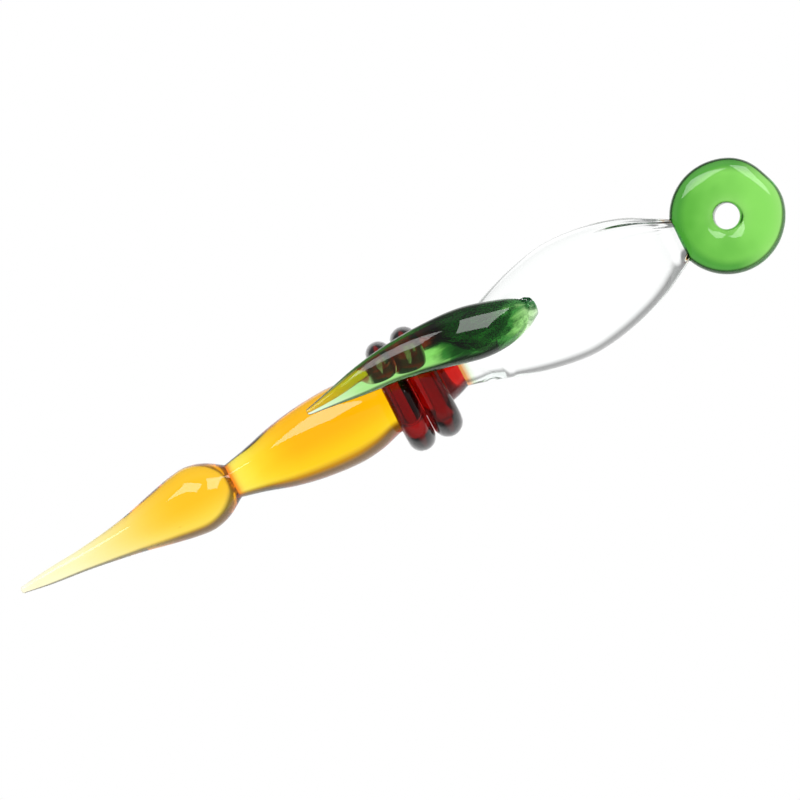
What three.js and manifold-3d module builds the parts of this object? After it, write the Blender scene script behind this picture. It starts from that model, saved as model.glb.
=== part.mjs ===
// Lampworked glass dip pen, lying on its side. Millimetres, +Z up, +X from the point to the end disc.
import * as THREE from 'three';
import { mergeVertices } from 'three/addons/utils/BufferGeometryUtils.js';
import Module from 'manifold-3d';

const wasm = await Module();
wasm.setup();

// Driving dimensions. A station is [distance from the point, radius].
const FUSE_GAP = 0.3;
const AXIS_HEIGHT = 9.45;
const ROUND_SEGMENTS = 32;
const SLICE_LENGTH = 2;

// The pen's centreline wanders a little sideways: [distance from the point, offset along +Y].
const CENTRELINE = [[0, 0.25], [18, -0.2], [36, -0.1], [50, -0.57], [70, -0.75], [81, -0.35],
  [95, 0.1], [112, 0.55], [121, 0.4], [131, 0.05], [141, 0.05]];

const TIP_NOSE_RADIUS = 0.7;
const TIP = [[TIP_NOSE_RADIUS, 0.7], [5, 1.3], [12, 1.95], [20, 3.15], [26, 4.55], [30, 5.4],
  [33, 5.65], [36, 4.85], [38.9, 3.0]];
const AMBER_BODY = [[38.9 + FUSE_GAP, 3.05], [43, 3.95], [48, 5.35], [53, 6.25], [59, 6.7],
  [63, 6.35], [66.5, 5.45], [68.5, 5.0]];
const RED_CORE = [[68.5 + FUSE_GAP, 4.95], [72, 4.9], [76.4, 5.0], [78.6, 4.6], [80.6, 4.05]];
const CLEAR_BODY = [[80.6 + FUSE_GAP, 4.1], [84, 5.3], [88, 6.85], [93, 8.45], [98, 9.55],
  [102, 9.95], [107, 9.5], [112, 8.4], [116, 6.95], [119.4, 5.15], [122, 3.7]];

// The two wraps are rings of red rod: centre along the pen, rod radius, half the width over all.
const FRONT_WRAP = { centre: 69.7, rod: 2.1, halfWidth: 9.85 };
const REAR_WRAP = { centre: 74.4, rod: 2.3, halfWidth: 9.95 };

// The horn grows out of the top of the clear body and reaches forward over the wraps.
const HORN = [[55.6, 0.55], [60, 1.35], [65, 2.3], [71, 3.1], [78, 4.0], [84, 4.55], [88, 4.2],
  [92, 3.1], [95.2, 1.4]];
const HORN_SIDE = [[55.6, 3.9], [65, 4.35], [71, 4.45], [78, 3.85], [86, 2.6], [90, 2.1], [95.2, 1.9]];
const HORN_RISE = [[55.6, 12.4], [65, 13.6], [71, 13.5], [78, 12.6], [86, 10.3], [91, 8.6], [95.2, 7.4]];
const HORN_FLATTENING = 0.8;

const DISC_CENTRE = 130.6;
const DISC_RADIUS = 9.5;
const DISC_THICKNESS = 5.6;
const DISC_FACE_OUTER = 6.6;
const DISC_FACE_INNER = 5;
const DISC_HOLE_RADIUS = 2.15;
const DISC_HOLE_WALL = 2;

const GLASS = { roughness: 0.03, metalness: 0, transparent: true };
const MATERIALS = {
  amber: () => new THREE.MeshStandardMaterial({ ...GLASS, color: 0xf7b418, opacity: 0.75 }),
  red: () => new THREE.MeshStandardMaterial({ ...GLASS, color: 0x8a1210, opacity: 0.9 }),
  clear: () => new THREE.MeshStandardMaterial({ ...GLASS, color: 0xeef2f2, opacity: 0.35 }),
  horn: () => new THREE.MeshStandardMaterial({ ...GLASS, color: 0x1c7a34, opacity: 0.85 }),
  disc: () => new THREE.MeshStandardMaterial({ ...GLASS, color: 0x6fd048, opacity: 0.75 }),
};

// A smooth curve through [position, value] stations, as a function of the position.
function smooth(stations) {
  const slope = (i) => {
    const before = stations[Math.max(i - 1, 0)];
    const after = stations[Math.min(i + 1, stations.length - 1)];
    return (after[1] - before[1]) / (after[0] - before[0]);
  };
  return (x) => {
    let i = 0;
    while (i < stations.length - 2 && x > stations[i + 1][0]) {
      i += 1;
    }
    const [x0, y0] = stations[i];
    const [x1, y1] = stations[i + 1];
    const width = x1 - x0;
    const t = THREE.MathUtils.clamp((x - x0) / width, 0, 1);
    const u = 1 - t;
    return (1 + 2 * t) * u * u * y0 + t * u * u * width * slope(i)
      + t * t * (3 - 2 * t) * y1 - t * t * u * width * slope(i + 1);
  };
}

// Profile points (radius, position) from the first station to the last, a slice length apart.
function profile(stations, extra = 0) {
  const radius = smooth(stations);
  const start = stations[0][0];
  const end = stations[stations.length - 1][0];
  const count = Math.ceil((end - start) / SLICE_LENGTH);
  const points = [];
  for (let i = 0; i <= count; i += 1) {
    const x = start + ((end - start) * i) / count;
    points.push(new THREE.Vector2(radius(x) + extra, x));
  }
  return points;
}

// Turns a profile round the X axis, and closes both ends with a flat face.
function turned(points) {
  const first = new THREE.Vector2(0, points[0].y);
  const last = new THREE.Vector2(0, points[points.length - 1].y);
  const geometry = new THREE.LatheGeometry([first, ...points, last], ROUND_SEGMENTS);
  geometry.rotateZ(-Math.PI / 2);
  return geometry;
}

// Moves each slice of a piece sideways and up by two functions of its X position.
function bent(geometry, side, rise = () => 0) {
  const position = geometry.attributes.position;
  for (let i = 0; i < position.count; i += 1) {
    const x = position.getX(i);
    position.setY(i, position.getY(i) + side(x));
    position.setZ(i, position.getZ(i) + rise(x));
  }
  return geometry;
}

// Solid geometry for cutting, and back again.
function toSolid(geometry) {
  const plain = new THREE.BufferGeometry();
  plain.setAttribute('position', geometry.attributes.position.clone());
  plain.setIndex(geometry.index);
  const merged = mergeVertices(plain, 1e-4);
  const corners = merged.index.array;
  const triangles = [];
  for (let i = 0; i < corners.length; i += 3) {
    const [a, b, c] = corners.slice(i, i + 3);
    if (a !== b && b !== c && c !== a) {
      triangles.push(a, b, c);
    }
  }
  return new wasm.Manifold(new wasm.Mesh({
    numProp: 3,
    vertProperties: new Float32Array(merged.attributes.position.array),
    triVerts: new Uint32Array(triangles),
  }));
}

function toGeometry(solid) {
  const mesh = solid.getMesh();
  const geometry = new THREE.BufferGeometry();
  geometry.setAttribute('position', new THREE.BufferAttribute(mesh.vertProperties, 3));
  geometry.setIndex(new THREE.BufferAttribute(mesh.triVerts, 1));
  geometry.computeVertexNormals();
  return geometry;
}

const centreline = smooth(CENTRELINE);

function gather(stations, extra = 0) {
  return bent(turned(profile(stations, extra)), centreline);
}

// The point ends in a small round nose.
function amberTip() {
  const nose = [];
  for (let i = 1; i < 4; i += 1) {
    const angle = (Math.PI / 2) * (i / 4);
    const radius = TIP_NOSE_RADIUS * Math.sin(angle);
    nose.push(new THREE.Vector2(radius, TIP_NOSE_RADIUS * (1 - Math.cos(angle))));
  }
  const points = [new THREE.Vector2(0.01, 0), ...nose, ...profile(TIP)];
  return bent(turned(points), centreline);
}

// A ring of rod round the pen, pressed down until it is as high as the pen's axis is above the table.
function wrap({ centre, rod, halfWidth }) {
  const ring = new THREE.TorusGeometry(halfWidth - rod, rod, 12, 36);
  ring.rotateY(Math.PI / 2);
  ring.scale(1, 1, AXIS_HEIGHT / halfWidth);
  ring.translate(centre, centreline(centre), 0);
  return ring;
}

// A level disc with a half-round rim, a ring of flat face, and a hole with widely rounded mouths.
function disc(extra = 0) {
  const half = DISC_THICKNESS / 2 + extra;
  const rim = DISC_RADIUS + extra - DISC_FACE_OUTER;
  const mouth = DISC_FACE_INNER - DISC_HOLE_RADIUS;
  const wall = DISC_HOLE_WALL / 2;
  const points = [];
  const arc = (cx, cy, rx, ry, from, to, count) => {
    for (let i = 0; i <= count; i += 1) {
      const angle = from + ((to - from) * i) / count;
      points.push(new THREE.Vector2(cx + rx * Math.cos(angle), cy + ry * Math.sin(angle)));
    }
  };
  const quarter = Math.PI / 2;
  arc(DISC_FACE_OUTER, 0, rim, half, -quarter, quarter, 12);
  arc(DISC_FACE_INNER, wall, mouth, half - wall, quarter, 2 * quarter, 5);
  arc(DISC_FACE_INNER, -wall, mouth, half - wall, 2 * quarter, 3 * quarter, 5);
  points.push(points[0].clone());
  const geometry = new THREE.LatheGeometry(points, ROUND_SEGMENTS);
  geometry.rotateX(quarter);
  geometry.translate(DISC_CENTRE, centreline(DISC_CENTRE), 0);
  return geometry;
}

function horn() {
  const shape = turned(profile(HORN));
  shape.scale(1, 1, HORN_FLATTENING);
  const whole = toSolid(bent(shape, smooth(HORN_SIDE), smooth(HORN_RISE)));
  return toGeometry(whole.subtract(toSolid(gather(CLEAR_BODY, FUSE_GAP))));
}

// The clear body is paddled flat underneath and hollowed at its end to take the disc's rim.
function clearBody() {
  const below = new THREE.BoxGeometry(60, 40, 10);
  below.translate(100, 0, -AXIS_HEIGHT - 5);
  const body = toSolid(gather(CLEAR_BODY));
  return toGeometry(body.subtract(toSolid(below)).subtract(toSolid(disc(FUSE_GAP))));
}

const pen = new THREE.Group();

function add(name, geometry, material) {
  const mesh = new THREE.Mesh(geometry, material());
  mesh.name = name;
  pen.add(mesh);
}

add('amber_tip', amberTip(), MATERIALS.amber);
add('amber_body', gather(AMBER_BODY), MATERIALS.amber);
add('red_core', gather(RED_CORE), MATERIALS.red);
add('front_wrap', wrap(FRONT_WRAP), MATERIALS.red);
add('rear_wrap', wrap(REAR_WRAP), MATERIALS.red);
add('clear_body', clearBody(), MATERIALS.clear);
add('green_horn', horn(), MATERIALS.horn);
add('green_disc', disc(), MATERIALS.disc);

// The origin is on the table, under the middle of the pen's bounding box.
const box = new THREE.Box3().setFromObject(pen);
const middle = box.getCenter(new THREE.Vector3());
pen.position.set(-middle.x, -middle.y, -box.min.z);

export default pen;
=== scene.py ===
"""A lampworked glass dip pen lying on a pale light table: gathers of coloured glass, fused end to end."""
import math

import bmesh
import bpy
from mathutils import Matrix, Vector, noise
from mathutils.bvhtree import BVHTree


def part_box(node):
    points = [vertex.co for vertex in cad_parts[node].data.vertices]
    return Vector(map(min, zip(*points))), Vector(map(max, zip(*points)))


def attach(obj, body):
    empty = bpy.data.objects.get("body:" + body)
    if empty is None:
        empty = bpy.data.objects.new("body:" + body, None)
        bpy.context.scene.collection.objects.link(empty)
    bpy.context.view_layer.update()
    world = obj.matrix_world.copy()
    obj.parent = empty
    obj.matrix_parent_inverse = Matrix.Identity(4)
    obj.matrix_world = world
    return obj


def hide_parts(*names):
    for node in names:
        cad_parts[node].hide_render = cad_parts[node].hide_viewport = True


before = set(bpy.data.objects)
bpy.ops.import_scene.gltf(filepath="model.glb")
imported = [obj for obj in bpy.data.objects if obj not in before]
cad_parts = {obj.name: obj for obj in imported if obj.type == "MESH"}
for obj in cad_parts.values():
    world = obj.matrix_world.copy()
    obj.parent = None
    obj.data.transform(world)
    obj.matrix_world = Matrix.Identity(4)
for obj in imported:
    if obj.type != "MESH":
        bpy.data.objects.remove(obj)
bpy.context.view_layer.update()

MM = 0.001

# ---------------------------------------------------------------- driving dimensions, in millimetres
# A station is (distance from the point, value). The outlines repeat the CAD source's, except that the
# gathers meet here without its gaps.
CENTRELINE = [(0, 0.25), (18, -0.2), (36, -0.1), (50, -0.57), (70, -0.75), (81, -0.35),
              (95, 0.1), (112, 0.55), (121, 0.4), (131, 0.05), (141, 0.05)]
TIP_NOSE = 0.65
WAIST, BODY_END, CORE_END = 39.0, 68.6, 80.2
TIP = [(TIP_NOSE, 0.65), (5, 1.3), (12, 1.95), (20, 3.15), (26, 4.55), (30, 5.4), (33, 5.65),
       (36, 4.85), (WAIST, 3.0)]
AMBER_BODY = [(WAIST, 3.0), (43, 3.95), (48, 5.35), (53, 6.25), (59, 6.7), (63, 6.35), (66.5, 5.45),
              (BODY_END, 4.95)]
RED_CORE = [(BODY_END, 4.95), (72, 4.9), (76.4, 5.0), (78.6, 4.6), (CORE_END, 4.1)]
CLEAR_BODY = [(CORE_END, 4.1), (84, 5.3), (88, 6.85), (93, 8.45), (98, 9.55), (102, 9.95), (107, 9.5),
              (112, 8.4), (116, 6.95), (119.4, 5.15), (122, 3.7)]
HORN = [(55.6, 0.55), (60, 1.35), (65, 2.3), (71, 3.1), (78, 4.0), (84, 4.55), (88, 4.2),
        (92, 3.1), (95.2, 1.4)]
HORN_SIDE = [(55.6, 3.9), (65, 4.35), (71, 4.45), (78, 3.85), (86, 2.6), (90, 2.1), (95.2, 1.9)]
HORN_RISE = [(55.6, 12.4), (65, 13.6), (71, 13.5), (78, 12.6), (86, 10.3), (91, 8.6), (95.2, 7.4)]
HORN_FLATTENING = 0.8
REAR_WRAP_AT = 74.4
FRONT_ROD, REAR_ROD = 2.25, 2.42
DISC_FACE_OUTER, DISC_FACE_INNER = 6.2, 5.0
DISC_HOLE, DISC_HOLE_WALL = 2.15, 2.0

SEGMENTS = 128
FINE_SEGMENTS = 360
SLICE = 0.4
FUSED_GAP = 0.02
FUSED_REACH = 0.05
SHARP_EDGE = math.radians(38)

TABLE_TURN = math.radians(28.04)
VIEW_RIGHT = Vector((math.cos(TABLE_TURN), -math.sin(TABLE_TURN), 0))
VIEW_UP = Vector((math.sin(TABLE_TURN), math.cos(TABLE_TURN), 0))


# ---------------------------------------------------------------- curves
def smooth(stations):
    """A smooth curve through stations, as a function of the distance from the point."""
    last = len(stations) - 1

    def slope(i):
        before, after = stations[max(i - 1, 0)], stations[min(i + 1, last)]
        return (after[1] - before[1]) / (after[0] - before[0])

    def value(x):
        i = 0
        while i < last - 1 and x > stations[i + 1][0]:
            i += 1
        (x0, y0), (x1, y1) = stations[i], stations[i + 1]
        t = min(max((x - x0) / (x1 - x0), 0), 1)
        u = 1 - t
        return (
            (1 + 2 * t) * u * u * y0
            + t * u * u * (x1 - x0) * slope(i)
            + t * t * (3 - 2 * t) * y1
            - t * t * u * (x1 - x0) * slope(i + 1)
        )

    return value


def ease(low, high, x):
    """0 below low, 1 above high, and a soft step between them. It runs down when low is above high."""
    t = min(max((x - low) / (high - low), 0), 1)
    return t * t * (3 - 2 * t)


def bell(middle_at, width, x):
    return math.exp(-((x - middle_at) / width) ** 2)


centreline = smooth(CENTRELINE)
horn_radius = smooth(HORN)
horn_side = smooth(HORN_SIDE)
horn_rise = smooth(HORN_RISE)


# ---------------------------------------------------------------- the pen's own frame
def middle(node):
    low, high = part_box(node)
    return (Vector(low) + Vector(high)) / 2


def half_size(node):
    low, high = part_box(node)
    return (Vector(high) - Vector(low)) / 2


ORIGIN = Vector((
    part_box("amber_tip")[0][0],
    middle("rear_wrap").y - centreline(REAR_WRAP_AT) * MM,
    middle("amber_body").z,
))


def at(s, side, up):
    """A point in metres, from millimetres along, beside and above the pen's straight axis."""
    return ORIGIN + Vector((s, side, up)) * MM


def along_beside_above(point):
    return (point - ORIGIN) / MM


# ---------------------------------------------------------------- mesh helpers
def new_object(name, bm):
    mesh = bpy.data.meshes.new(name)
    bmesh.ops.recalc_face_normals(bm, faces=bm.faces)
    bm.to_mesh(mesh)
    bm.free()
    obj = bpy.data.objects.new(name, mesh)
    bpy.context.scene.collection.objects.link(obj)
    return obj


def stand_for(obj, node):
    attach(obj, "root")
    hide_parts(node)
    return obj


def add_loft(bm, rings):
    """Joins rings of points with quads and closes both ends with a fan."""
    rows = [[bm.verts.new(p) for p in row] for row in rings]
    count = len(rows[0])
    for a, b in zip(rows, rows[1:]):
        for i in range(count):
            j = (i + 1) % count
            bm.faces.new((a[i], a[j], b[j], b[i]))
    for row in (rows[0], rows[-1]):
        centre = bm.verts.new(sum((v.co for v in row), Vector()) / count)
        for i in range(count):
            bm.faces.new((row[i], row[(i + 1) % count], centre))


def add_closed_grid(bm, rows):
    """Joins rings of points that also close on each other, as in a torus."""
    grid = [[bm.verts.new(p) for p in row] for row in rows]
    for i, a in enumerate(grid):
        b = grid[(i + 1) % len(grid)]
        for k in range(len(a)):
            m = (k + 1) % len(a)
            bm.faces.new((a[k], a[m], b[m], b[k]))


def stations_along(start, end):
    count = max(int(math.ceil((end - start) / SLICE)), 2)
    return [start + (end - start) * i / count for i in range(count + 1)]


def wobble(s, angle, size, seed):
    """Hand-made unevenness: a slow change of radius round and along a gather."""
    p = Vector((s * 0.055 + seed, math.cos(angle) * 0.7, math.sin(angle) * 0.7))
    return size * noise.noise(p)


def ring(s, radius, side=0.0, up=0.0, flatten=1.0, uneven=0.0, seed=0.0):
    points = []
    for i in range(SEGMENTS):
        angle = 2 * math.pi * i / SEGMENTS
        r = radius + wobble(s, angle, uneven, seed)
        points.append(at(s, side + r * math.cos(angle), up + r * math.sin(angle) * flatten))
    return points


def gather(stations, uneven, seed):
    """The rings of a gather of glass turned round the pen's centreline."""
    radius = smooth(stations)
    return [
        ring(s, radius(s), centreline(s), 0, 1, uneven, seed)
        for s in stations_along(stations[0][0], stations[-1][0])
    ]


def cut_away(obj, cutter):
    """Takes one solid out of another, applies the result and removes the cutter."""
    modifier = obj.modifiers.new("cut", "BOOLEAN")
    modifier.operation = "DIFFERENCE"
    modifier.solver = "MANIFOLD"
    modifier.object = cutter
    graph = bpy.context.evaluated_depsgraph_get()
    cut = bpy.data.meshes.new_from_object(obj.evaluated_get(graph))
    obj.modifiers.clear()
    old, spent = obj.data, cutter.data
    obj.data = cut
    cut.name = obj.name
    bpy.data.meshes.remove(old)
    bpy.data.objects.remove(cutter)
    bpy.data.meshes.remove(spent)


def tree_of(obj):
    bm = bmesh.new()
    bm.from_mesh(obj.data)
    tree = BVHTree.FromBMesh(bm)
    bm.free()
    return tree


def mark_fused(objects):
    """Marks the faces that are fused to a neighbour. Light passes them as if there were no surface."""
    trees = {o.name: tree_of(o) for o in objects}
    for obj in objects:
        layer = obj.data.attributes.new("fused", "FLOAT", "FACE")
        for face in obj.data.polygons:
            for other, tree in trees.items():
                if other == obj.name:
                    continue
                hit, normal, _, _ = tree.find_nearest(face.center, FUSED_REACH * MM)
                if hit is not None and normal.dot(face.normal) < -0.8:
                    layer.data[face.index].value = 1.0
                    break


def shade(obj):
    """Smooth shading, with the fused faces' rims left sharp."""
    bm = bmesh.new()
    bm.from_mesh(obj.data)
    for face in bm.faces:
        face.smooth = True
    for edge in bm.edges:
        edge.smooth = len(edge.link_faces) == 2 and edge.calc_face_angle(0) < SHARP_EDGE
    bm.to_mesh(obj.data)
    bm.free()


def paint(obj, name, amount):
    """Stores a number on each vertex, from its place along, beside and above the pen's axis."""
    layer = obj.data.attributes.new(name, "FLOAT", "POINT")
    for vertex, stored in zip(obj.data.vertices, layer.data):
        stored.value = amount(*along_beside_above(vertex.co))


# ---------------------------------------------------------------- shader helpers
def feed(tree, socket, value):
    """Links a node's output to a socket, or sets the socket to a number, vector or colour."""
    if isinstance(value, bpy.types.NodeSocket):
        tree.links.new(value, socket)
    elif socket.type == "RGBA":
        socket.default_value = (*value, 1)
    else:
        socket.default_value = value


def blend(tree, amount, first, second):
    mix = tree.nodes.new("ShaderNodeMix")
    mix.data_type = "RGBA"
    feed(tree, mix.inputs[0], amount)
    feed(tree, mix.inputs[6], first)
    feed(tree, mix.inputs[7], second)
    return mix.outputs[2]


def maths(tree, operation, first, second):
    step = tree.nodes.new("ShaderNodeMath")
    step.operation = operation
    feed(tree, step.inputs[0], first)
    feed(tree, step.inputs[1], second)
    return step.outputs[0]


def rescale(tree, value, low, high, new_low=0.0, new_high=1.0, soft=True):
    ramp = tree.nodes.new("ShaderNodeMapRange")
    ramp.interpolation_type = "SMOOTHSTEP" if soft else "LINEAR"
    feed(tree, ramp.inputs["Value"], value)
    ramp.inputs["From Min"].default_value = low
    ramp.inputs["From Max"].default_value = high
    ramp.inputs["To Min"].default_value = new_low
    ramp.inputs["To Max"].default_value = new_high
    return ramp.outputs["Result"]


def painted(tree, name):
    stored = tree.nodes.new("ShaderNodeAttribute")
    stored.attribute_name = name
    return stored.outputs["Fac"]


def place(tree, per_metre, shift=(0, 0, 0)):
    """The object's own coordinates, scaled to so many units a metre along X, Y and Z."""
    coords = tree.nodes.new("ShaderNodeTexCoord")
    mapping = tree.nodes.new("ShaderNodeMapping")
    mapping.inputs["Scale"].default_value = per_metre
    mapping.inputs["Location"].default_value = shift
    tree.links.new(coords.outputs["Object"], mapping.inputs["Vector"])
    return mapping.outputs["Vector"]


def clouds(tree, per_metre, detail, shift=(0, 0, 0)):
    texture = tree.nodes.new("ShaderNodeTexNoise")
    texture.inputs["Scale"].default_value = 1
    texture.inputs["Detail"].default_value = detail
    tree.links.new(place(tree, per_metre, shift), texture.inputs["Vector"])
    return texture.outputs["Fac"]


def specks(tree, cell_mm, size_mm, kept):
    """Small dark seeds in the glass: 1 on a speck, 0 elsewhere. kept is the share of cells with one."""
    cells = tree.nodes.new("ShaderNodeTexVoronoi")
    cells.inputs["Scale"].default_value = 1
    per_metre = 1 / (cell_mm * MM)
    tree.links.new(place(tree, (per_metre * 0.5, per_metre * 1.5, per_metre)), cells.inputs["Vector"])
    near = rescale(tree, cells.outputs["Distance"], size_mm / cell_mm, 0.5 * size_mm / cell_mm)
    tone = tree.nodes.new("ShaderNodeSeparateColor")
    tree.links.new(cells.outputs["Color"], tone.inputs[0])
    chosen = maths(tree, "LESS_THAN", tone.outputs[0], kept)
    return maths(tree, "MULTIPLY", near, chosen)


GLASS_IOR = 1.5
WHITE = (1.0, 1.0, 1.0)
STRONGEST_TINT = 0.95


def glass(name, absorbed, colour, wave_height):
    """Glass coloured by its depth: absorbed is per millimetre, for red, green and blue.

    colour(tree) gives the colour on the surface, stains and on some glasses painted shade, and wave_height
    is the depth of its soft waves, in mm.
    """
    material = bpy.data.materials.new(name)
    material.use_nodes = True
    tree = material.node_tree
    tree.nodes.clear()
    output = tree.nodes.new("ShaderNodeOutputMaterial")
    surface = tree.nodes.new("ShaderNodeBsdfPrincipled")
    surface.inputs["Transmission Weight"].default_value = 1
    feed(tree, surface.inputs["Base Color"], colour(tree))
    feed(tree, surface.inputs["IOR"], rescale(tree, painted(tree, "fused"), 0, 1, GLASS_IOR, 1, False))
    haze = rescale(tree, clouds(tree, (180, 500, 500), 2), 0.56, 0.8, 0.0, 0.05)
    feed(tree, surface.inputs["Roughness"], haze)
    bump = tree.nodes.new("ShaderNodeBump")
    bump.inputs["Distance"].default_value = wave_height * MM
    tree.links.new(clouds(tree, (90, 230, 230), 1.5), bump.inputs["Height"])
    tree.links.new(bump.outputs["Normal"], surface.inputs["Normal"])
    tree.links.new(surface.outputs["BSDF"], output.inputs["Surface"])
    depth = tree.nodes.new("ShaderNodeVolumeAbsorption")
    density = max(absorbed) / STRONGEST_TINT
    depth.inputs["Density"].default_value = density / MM
    depth.inputs["Color"].default_value = (*[1 - a / density for a in absorbed], 1)
    tree.links.new(depth.outputs["Volume"], output.inputs["Volume"])
    return material


def cords(tree, along, across, low, high, shift=(0, 0, 0)):
    """Streaks drawn out along the pen, as uneven colour is when a gather is pulled."""
    return rescale(tree, clouds(tree, (along, across, across), 3, shift), low, high)


# ---------------------------------------------------------------- colours
def amber_stain_and_shade(tree):
    base = blend(tree, cords(tree, 25, 420, 0.45, 0.75), WHITE, (1.0, 0.93, 0.72))
    # painted shade: the glass turns a deeper orange towards its +Y side (the depth attribute)
    base = blend(tree, painted(tree, "depth"), base, (1.0, 0.67, 0.12))
    # painted shade: darker brown along the -Y edge
    base = blend(tree, painted(tree, "edge"), base, (0.38, 0.19, 0.08))
    base = blend(tree, painted(tree, "ring"), base, (0.90, 0.20, 0.01))
    return blend(tree, specks(tree, 3.0, 0.26, 0.4), base, (0.16, 0.06, 0.01))


def red_streaks_and_bands(tree):
    base = blend(tree, cords(tree, 500, 120, 0.45, 0.72), WHITE, (0.75, 0.45, 0.5))
    # darker bands along both flanks of each ring rod
    return blend(tree, painted(tree, "flank_band"), base, (0.10, 0.04, 0.07))


def clear_stain(tree):
    base = blend(tree, cords(tree, 30, 380, 0.55, 0.85), WHITE, (0.93, 0.95, 0.97))
    base = blend(tree, painted(tree, "leaf"), base, (0.60, 0.80, 0.38))
    return blend(tree, painted(tree, "ember"), base, (0.75, 0.12, 0.015))


def horn_streaks_and_shade(tree):
    feathers = cords(tree, 45, 650, 0.36, 0.66)
    # painted shade at the root and the +Y edge, plus drawn-out streaks
    depth = maths(tree, "ADD", painted(tree, "root"), maths(tree, "MULTIPLY", feathers, 0.45))
    base = blend(tree, cords(tree, 40, 500, 0.5, 0.8, (3, 1, 2)), WHITE, (0.72, 0.9, 0.62))
    # the two dark greens below are painted shade
    base = blend(tree, rescale(tree, depth, 0.48, 0.9), base, (0.022, 0.12, 0.045))
    return blend(tree, rescale(tree, depth, 0.85, 1.35), base, (0.004, 0.03, 0.015))


def disc_specks_and_shade(tree):
    span = half_size("green_disc").x
    centre = middle("green_disc")
    split = tree.nodes.new("ShaderNodeSeparateXYZ")
    tree.links.new(place(tree, (1 / span,) * 3, tuple(-centre / span)), split.inputs[0])
    # darker towards the disc's -X side, with soft noise
    x_with_noise = maths(tree, "ADD", split.outputs[0], rescale(tree, clouds(tree, (150,) * 3, 2), 0, 1, -0.5, 0.5))
    base = blend(tree, rescale(tree, x_with_noise, -0.9, 0.6), (0.38, 0.58, 0.34), WHITE)
    # painted shade round the hole and the rim
    base = blend(tree, painted(tree, "rim"), base, (0.13, 0.33, 0.17))
    return blend(tree, specks(tree, 6.0, 0.22, 0.12), base, (0.02, 0.06, 0.02))


TIP_AMBER = glass("tip_amber_glass", (0.001, 0.017, 0.19), amber_stain_and_shade, 0.012)
AMBER = glass("amber_glass", (0.001, 0.028, 0.38), amber_stain_and_shade, 0.02)
RED = glass("red_glass", (0.06, 0.5, 0.55), red_streaks_and_bands, 0.015)
RUBY = glass("ruby_glass", (0.11, 0.6, 0.6), red_streaks_and_bands, 0.015)
CLEAR = glass("clear_glass", (0.002, 0.001, 0.0015), clear_stain, 0.012)
DARK_GREEN = glass("dark_green_glass", (0.23, 0.06, 0.33), horn_streaks_and_shade, 0.03)
LIGHT_GREEN = glass("light_green_glass", (0.245, 0.058, 0.38), disc_specks_and_shade, 0.02)


# ---------------------------------------------------------------- the gathers
def amber_tip():
    """A thin cone that swells into a bulb, with a small round nose."""
    nose = []
    for i in range(1, 12):
        angle = math.pi / 2 * i / 12
        s = TIP_NOSE * (1 - math.cos(angle))
        nose.append(ring(s, TIP_NOSE * math.sin(angle), centreline(s)))
    bm = bmesh.new()
    add_loft(bm, nose + gather(TIP, 0.07, 1.3))
    return stand_for(new_object("tip_glass", bm), "amber_tip")


def spindle(name, stations, node, uneven, seed):
    bm = bmesh.new()
    add_loft(bm, gather(stations, uneven, seed))
    return stand_for(new_object(name, bm), node)


WRAP_TURNS, WRAP_SIDES = 180, 48
WRAP_SWELL = 0.045
WRAP_SPREAD = 0.11


def wrap(name, node, rod, spread):
    """A ring of rod round the pen, a little thicker on its -Y side, where it meets the other ring."""
    centre = middle(node)
    half = half_size(node)
    rows = []
    flank_bands = []
    for i in range(WRAP_TURNS):
        a = 2 * math.pi * i / WRAP_TURNS
        r = rod * (1 - WRAP_SWELL * math.cos(a)) * MM
        out = Vector((0, math.cos(a), math.sin(a)))
        bow = Vector((spread * (1 - math.cos(a)) / 2 * MM, 0, 0))
        path = centre + bow + Vector((0, (half.y - r) * math.cos(a), (half.z - r) * math.sin(a)))
        row = []
        for k in range(WRAP_SIDES):
            b = 2 * math.pi * k / WRAP_SIDES
            row.append(path + (out * math.cos(b) + Vector((1, 0, 0)) * math.sin(b)) * r)
            # darker bands along both flanks of the rod, unevenly broken
            lean = math.degrees(math.atan2(math.sin(b), math.cos(b)))
            broken = 0.75 + 0.5 * noise.noise(Vector((math.cos(a) * 3, math.sin(a) * 3, rod)))
            flank_bands.append(broken * (bell(-52, 17, lean) + 0.8 * bell(50, 15, lean)))
        rows.append(row)
    bm = bmesh.new()
    add_closed_grid(bm, rows)
    obj = stand_for(new_object(name, bm), node)
    layer = obj.data.attributes.new("flank_band", "FLOAT", "POINT")
    for stored, value in zip(layer.data, flank_bands):
        stored.value = value
    return obj


HORN_NOSE, HORN_TAIL = 0.4, 0.6


def horn_rings(extra=0.0):
    rings = []
    for s in stations_along(HORN[0][0], HORN[-1][0]):
        row = ring(s, horn_radius(s) + extra, horn_side(s), horn_rise(s), HORN_FLATTENING, 0.09, 5.2)
        rings.append(row)
    tip_s, end_s = HORN[0][0], HORN[-1][0]
    nose, tail = [], []
    for i in range(1, 7):
        angle = math.pi / 2 * i / 7
        for s_end, reach, rounded in ((tip_s, -HORN_NOSE, nose), (end_s, HORN_TAIL, tail)):
            s = s_end + reach * math.cos(angle)
            r = (horn_radius(s_end) + extra) * math.sin(angle)
            rounded.append(ring(s, r, horn_side(s_end), horn_rise(s_end), HORN_FLATTENING))
    return nose + rings + tail[::-1]


def horn():
    bm = bmesh.new()
    add_loft(bm, horn_rings())
    return stand_for(new_object("horn_glass", bm), "green_horn")


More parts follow.
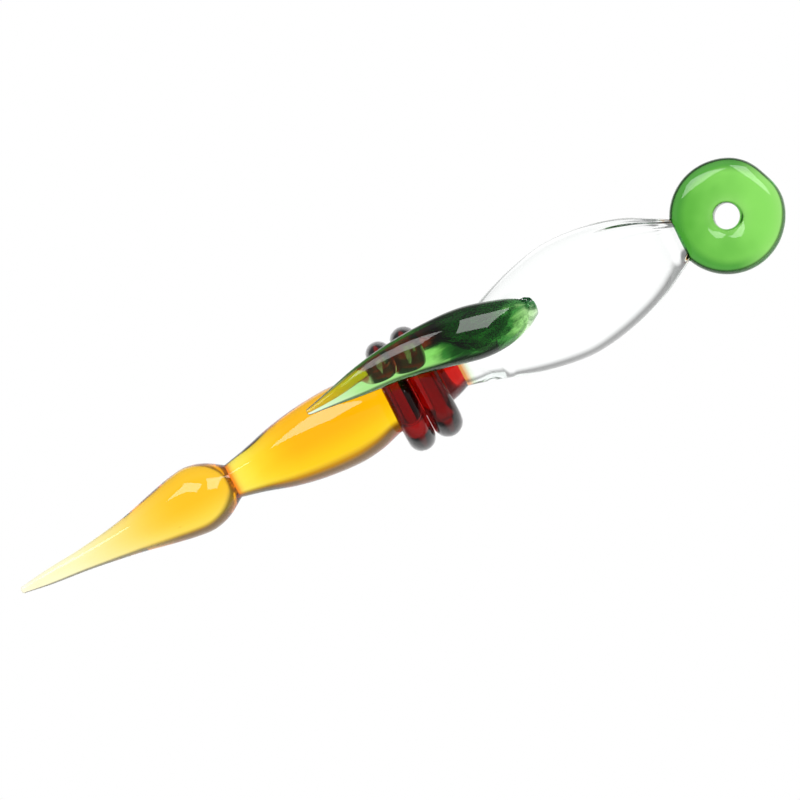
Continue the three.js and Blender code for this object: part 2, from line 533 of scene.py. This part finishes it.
def disc_profile(extra):
    half = half_size("green_disc")
    outer, face = half.x / MM + extra, half.z / MM + extra
    wall = DISC_HOLE_WALL / 2
    mouth = DISC_FACE_INNER - DISC_HOLE
    flat_steps = 6
    points = []

    def arc(cx, cy, rx, ry, start, end, count):
        for i in range(count):
            a = math.radians(start + (end - start) * i / count)
            points.append((cx + rx * math.cos(a), cy + ry * math.sin(a)))

    def flat(start, end, height):
        for i in range(flat_steps):
            points.append((start + (end - start) * i / flat_steps, height))

    arc(DISC_FACE_OUTER, 0, outer - DISC_FACE_OUTER, face, -90, 90, 64)
    flat(DISC_FACE_OUTER, DISC_FACE_INNER, face)
    arc(DISC_FACE_INNER, wall, mouth, face - wall, 90, 180, 28)
    arc(DISC_FACE_INNER, -wall, mouth, face - wall, 180, 270, 28)
    flat(DISC_FACE_INNER, DISC_FACE_OUTER, -face)
    return points


DISC_DENT_AT = math.radians(20)
DISC_DENT = 0.25
HOLE_LEAN = math.tan(math.radians(11))


def disc_mesh(name, extra=0.0):
    """A level disc. Its outline is a little dented on one side, and its hole leans a little."""
    centre = middle("green_disc")
    profile = disc_profile(extra)
    rows = []
    for i in range(SEGMENTS):
        a = 2 * math.pi * i / SEGMENTS
        off = (a - DISC_DENT_AT + math.pi) % (2 * math.pi) - math.pi
        dent = DISC_DENT * (0.45 * bell(0.62, 0.3, off) + 0.3 * bell(-0.55, 0.3, off) - bell(0, 0.27, off))
        row = []
        for r, z in profile:
            grown = r + dent * ease(DISC_FACE_INNER, DISC_FACE_OUTER + 1.5, r)
            lean = VIEW_RIGHT * -z * HOLE_LEAN * ease(DISC_FACE_INNER, DISC_HOLE, r)
            row.append(centre + (Vector((grown * math.cos(a), grown * math.sin(a), z)) + lean) * MM)
        rows.append(row)
    bm = bmesh.new()
    add_closed_grid(bm, rows)
    return new_object(name, bm)


KEEL_FROM, KEEL_TO = 90.0, 118.5
KEEL_HALF_ANGLE = math.radians(17.7)
FLUTE_DEPTH = 0.28
FLUTES_START, FLUTES_FULL, FLUTES_FADE, FLUTES_END = 105, 114, 119, 122
FLUTES_AT, FLUTES_SPREAD = math.radians(52), math.radians(34)


def clear_rings():
    """The big clear gather: paddled to a narrow flat underneath, and fluted where it meets the disc."""
    radius = smooth(CLEAR_BODY)
    down = Vector((0, -1))
    rings = []
    for s in stations_along(CLEAR_BODY[0][0], CLEAR_BODY[-1][0]):
        keel = ease(KEEL_FROM - 1.5, KEEL_FROM, s) * ease(KEEL_TO + 1, KEEL_TO - 1, s)
        limit = radius(s) * (1 - (1 - math.cos(KEEL_HALF_ANGLE)) * keel)
        fluted = FLUTE_DEPTH * ease(FLUTES_START, FLUTES_FULL, s) * ease(FLUTES_END, FLUTES_FADE, s)
        row = []
        for i in range(FINE_SEGMENTS):
            a = 2 * math.pi * i / FINE_SEGMENTS
            r = radius(s) + wobble(s, a, 0.05, 7.7)
            on_top = bell(FLUTES_AT, FLUTES_SPREAD, a)
            r += fluted * on_top * noise.noise(Vector((s * 0.05, a * 7.0, 2.6)))
            spot = Vector((r * math.cos(a), r * math.sin(a)))
            over = spot.dot(down) - limit
            if over > 0:
                spot -= down * over
            row.append(at(s, centreline(s) + spot.x, spot.y))
        rings.append(row)
    return rings


MENISCUS_REACH, MENISCUS_HEIGHT = 2.0, 0.8


def raise_meniscus(body, against):
    """Draws the clear glass up in a soft collar round the root of the horn."""
    tree = tree_of(against)
    moves = []
    for vertex in body.data.vertices:
        if vertex.co.z < ORIGIN.z:
            continue
        hit, _, _, distance = tree.find_nearest(vertex.co, MENISCUS_REACH * MM)
        if hit is not None:
            nearness = 1 - distance / (MENISCUS_REACH * MM)
            moves.append((vertex, vertex.normal * MENISCUS_HEIGHT * MM * nearness * nearness))
    for vertex, move in moves:
        vertex.co += move


def clear_body(horn_piece):
    bm = bmesh.new()
    add_loft(bm, clear_rings())
    for v in bm.verts:
        v.co.z = max(v.co.z, 0.0)
    body = stand_for(new_object("clear_glass_body", bm), "clear_body")
    raise_meniscus(body, horn_piece)
    root = bmesh.new()
    add_loft(root, horn_rings(FUSED_GAP))
    cut_away(body, new_object("horn_cutter", root))
    cut_away(body, disc_mesh("disc_cutter", FUSED_GAP))
    return body


tip = amber_tip()
grip = spindle("amber_body_glass", AMBER_BODY, "amber_body", 0.09, 2.1)
core = spindle("red_core_glass", RED_CORE, "red_core", 0.05, 4.4)
front = wrap("front_wrap_glass", "front_wrap", FRONT_ROD, -WRAP_SPREAD)
rear = wrap("rear_wrap_glass", "rear_wrap", REAR_ROD, WRAP_SPREAD)
green_horn = horn()
disc = stand_for(disc_mesh("disc_glass"), "green_disc")
clear = clear_body(green_horn)

for piece, material in ((tip, TIP_AMBER), (grip, AMBER), (core, RED), (front, RUBY), (rear, RUBY),
                        (green_horn, DARK_GREEN), (disc, LIGHT_GREEN), (clear, CLEAR)):
    piece.data.materials.clear()
    piece.data.materials.append(material)
    shade(piece)
mark_fused([tip, grip, core, clear, green_horn, disc])


def horn_root_shade(s, side, up):
    """How much painted shade darkens the green: most at the root and along the horn's +Y edge."""
    across = (side - horn_side(s)) / horn_radius(s)
    body_part = ease(74, 81, s) * (0.92 + 0.35 * across) * (1 - 0.5 * ease(87, 92, s))
    edge_part = ease(73, 79, s) * ease(0.2, 0.75, across)
    return max(body_part, edge_part)


disc_centre = along_beside_above(middle("green_disc"))


def disc_rim_shade(s, side, up):
    """Painted shade round the hole, and round the rim except on the side that VIEW_RIGHT points to."""
    along, across = s - disc_centre.x, side - disc_centre.y
    reach = math.hypot(along, across)
    right = (VIEW_RIGHT.x * along + VIEW_RIGHT.y * across) / reach
    return bell(DISC_HOLE, 0.22, reach) + ease(6.9, 8.3, reach) * ease(0.8, 0.1, right)


# Painted shade: the tip and body turn a deeper orange towards their +Y side.
paint(tip, "depth", lambda s, side, up: ease(8, 31, s) * ease(-4.5, 0.0, side))
paint(grip, "depth", lambda s, side, up: ease(41, 52, s) * ease(-4.5, 0.0, side))
# The ring is an orange-red stain at the waist; the edge is painted shade, darker brown along the -Y edge.
for piece, stations in ((tip, TIP), (grip, AMBER_BODY)):
    radius_at = smooth(stations)
    paint(piece, "ring", lambda s, side, up: bell(WAIST + 0.1, 0.75, s))
    paint(piece, "edge", lambda s, side, up: ease(-0.68, -0.86, side / radius_at(s)) * ease(18, 30, s))
paint(green_horn, "root", horn_root_shade)
paint(disc, "rim", disc_rim_shade)
paint(clear, "ember", lambda s, side, up: ease(CORE_END + 1.2, CORE_END + 0.5, s))
paint(clear, "leaf", lambda s, side, up: ease(CORE_END + 2.0, CORE_END + 0.9, s))


# ---------------------------------------------------------------- floor and light
TABLE_HALF_SIZE = 1.5


def light_table():
    """The pale table: a glowing plane that only the camera sees. The room below it lights the glass."""
    corners = ((-1, -1), (1, -1), (1, 1), (-1, 1))
    bm = bmesh.new()
    bm.faces.new([bm.verts.new((x * TABLE_HALF_SIZE, y * TABLE_HALF_SIZE, 0)) for x, y in corners])
    table = new_object("light_table", bm)
    material = bpy.data.materials.new("light_table")
    material.use_nodes = True
    surface = material.node_tree.nodes["Principled BSDF"]
    surface.inputs["Base Color"].default_value = (0, 0, 0, 1)
    surface.inputs["Specular IOR Level"].default_value = 0
    surface.inputs["Emission Color"].default_value = (*WHITE, 1)
    surface.inputs["Emission Strength"].default_value = 1
    table.data.materials.append(material)
    table.visible_diffuse = False
    table.visible_glossy = False
    table.visible_transmission = False
    table.visible_shadow = False


SOFTBOX_DISTANCE = 0.9
SOFTBOX_RADIANCE = 4.6


def softbox(name, centre, width_axis, width, height):
    """A rectangular softbox facing the pen. Its place and sides are (right, up, towards the camera)."""
    def turned(v):
        return VIEW_RIGHT * v[0] + VIEW_UP * v[1] + Vector((0, 0, v[2]))

    data = bpy.data.lights.new(name, "AREA")
    data.shape = "RECTANGLE"
    data.size, data.size_y = width, height
    data.energy = SOFTBOX_RADIANCE * math.pi * width * height
    lamp = bpy.data.objects.new(name, data)
    back = turned(centre).normalized()
    wide = turned(width_axis)
    wide = (wide - back * wide.dot(back)).normalized()
    facing = Matrix((wide, back.cross(wide), back)).transposed().to_4x4()
    lamp.matrix_world = Matrix.Translation(back * SOFTBOX_DISTANCE) @ facing
    lamp.visible_transmission = False
    bpy.context.scene.collection.objects.link(lamp)


PATCH_LEAN, PATCH_TOWARDS = math.radians(19), math.radians(-62)
PATCH_INNER, PATCH_OUTER = math.radians(50), math.radians(66)
PATCH_RADIANCE, ROOM_RADIANCE, SKYLINE_RADIANCE = 1.4, 0.34, 0.5


def room():
    """A dim, even room with a slightly brighter skyline, and a bright patch below that leans to one side."""
    world = bpy.data.worlds.new("room")
    bpy.context.scene.world = world
    world.use_nodes = True
    tree = world.node_tree
    tree.nodes.clear()
    output = tree.nodes.new("ShaderNodeOutputWorld")
    background = tree.nodes.new("ShaderNodeBackground")
    coords = tree.nodes.new("ShaderNodeTexCoord")

    def towards(direction):
        dot = tree.nodes.new("ShaderNodeVectorMath")
        dot.operation = "DOT_PRODUCT"
        dot.inputs[1].default_value = direction
        tree.links.new(coords.outputs["Generated"], dot.inputs[0])
        return dot.outputs["Value"]

    sideways = math.sin(PATCH_LEAN)
    middle_of_patch = (
        sideways * math.cos(PATCH_TOWARDS),
        sideways * math.sin(PATCH_TOWARDS),
        -math.cos(PATCH_LEAN),
    )
    inner, outer = math.cos(PATCH_INNER), math.cos(PATCH_OUTER)
    patch = rescale(tree, towards(middle_of_patch), outer, inner, ROOM_RADIANCE, PATCH_RADIANCE)
    height = towards((0, 0, 1))
    skyline = maths(tree, "MULTIPLY", rescale(tree, height, -0.22, -0.02), rescale(tree, height, 0.5, 0.25))
    glow = maths(tree, "MULTIPLY", skyline, SKYLINE_RADIANCE)
    strength = maths(tree, "MAXIMUM", patch, glow)
    tree.links.new(strength, background.inputs["Strength"])
    tree.links.new(background.outputs["Background"], output.inputs["Surface"])


SENSOR_WIDTH = 36
VIEW_WIDTH, VIEW_HEIGHT = 130.7, 600
VIEW_ALONG, VIEW_ASIDE = 69.3, -1.3


def add_camera():
    """Straight above, turned so that the pen runs from lower left to upper right."""
    data = bpy.data.cameras.new("camera")
    camera = bpy.data.objects.new("camera", data)
    bpy.context.scene.collection.objects.link(camera)
    data.sensor_width = SENSOR_WIDTH
    data.lens = SENSOR_WIDTH * VIEW_HEIGHT / VIEW_WIDTH
    camera.location = at(VIEW_ALONG, VIEW_ASIDE, VIEW_HEIGHT)
    camera.rotation_euler = (0, 0, -TABLE_TURN)
    bpy.context.scene.camera = camera


light_table()
softbox("softbox_left", (-0.36, 0.60, 0.64), (0.41, -0.02, 0.22), 0.80, 0.46)
softbox("softbox_right", (0.405, 0.65, 0.53), (0.309, -0.0475, -0.188), 0.40, 0.66)
room()
add_camera()

scene = bpy.context.scene
scene.cycles.max_bounces = 32
scene.cycles.transmission_bounces = 32
scene.cycles.glossy_bounces = 16
scene.cycles.transparent_max_bounces = 32
scene.view_settings.view_transform = "Standard"
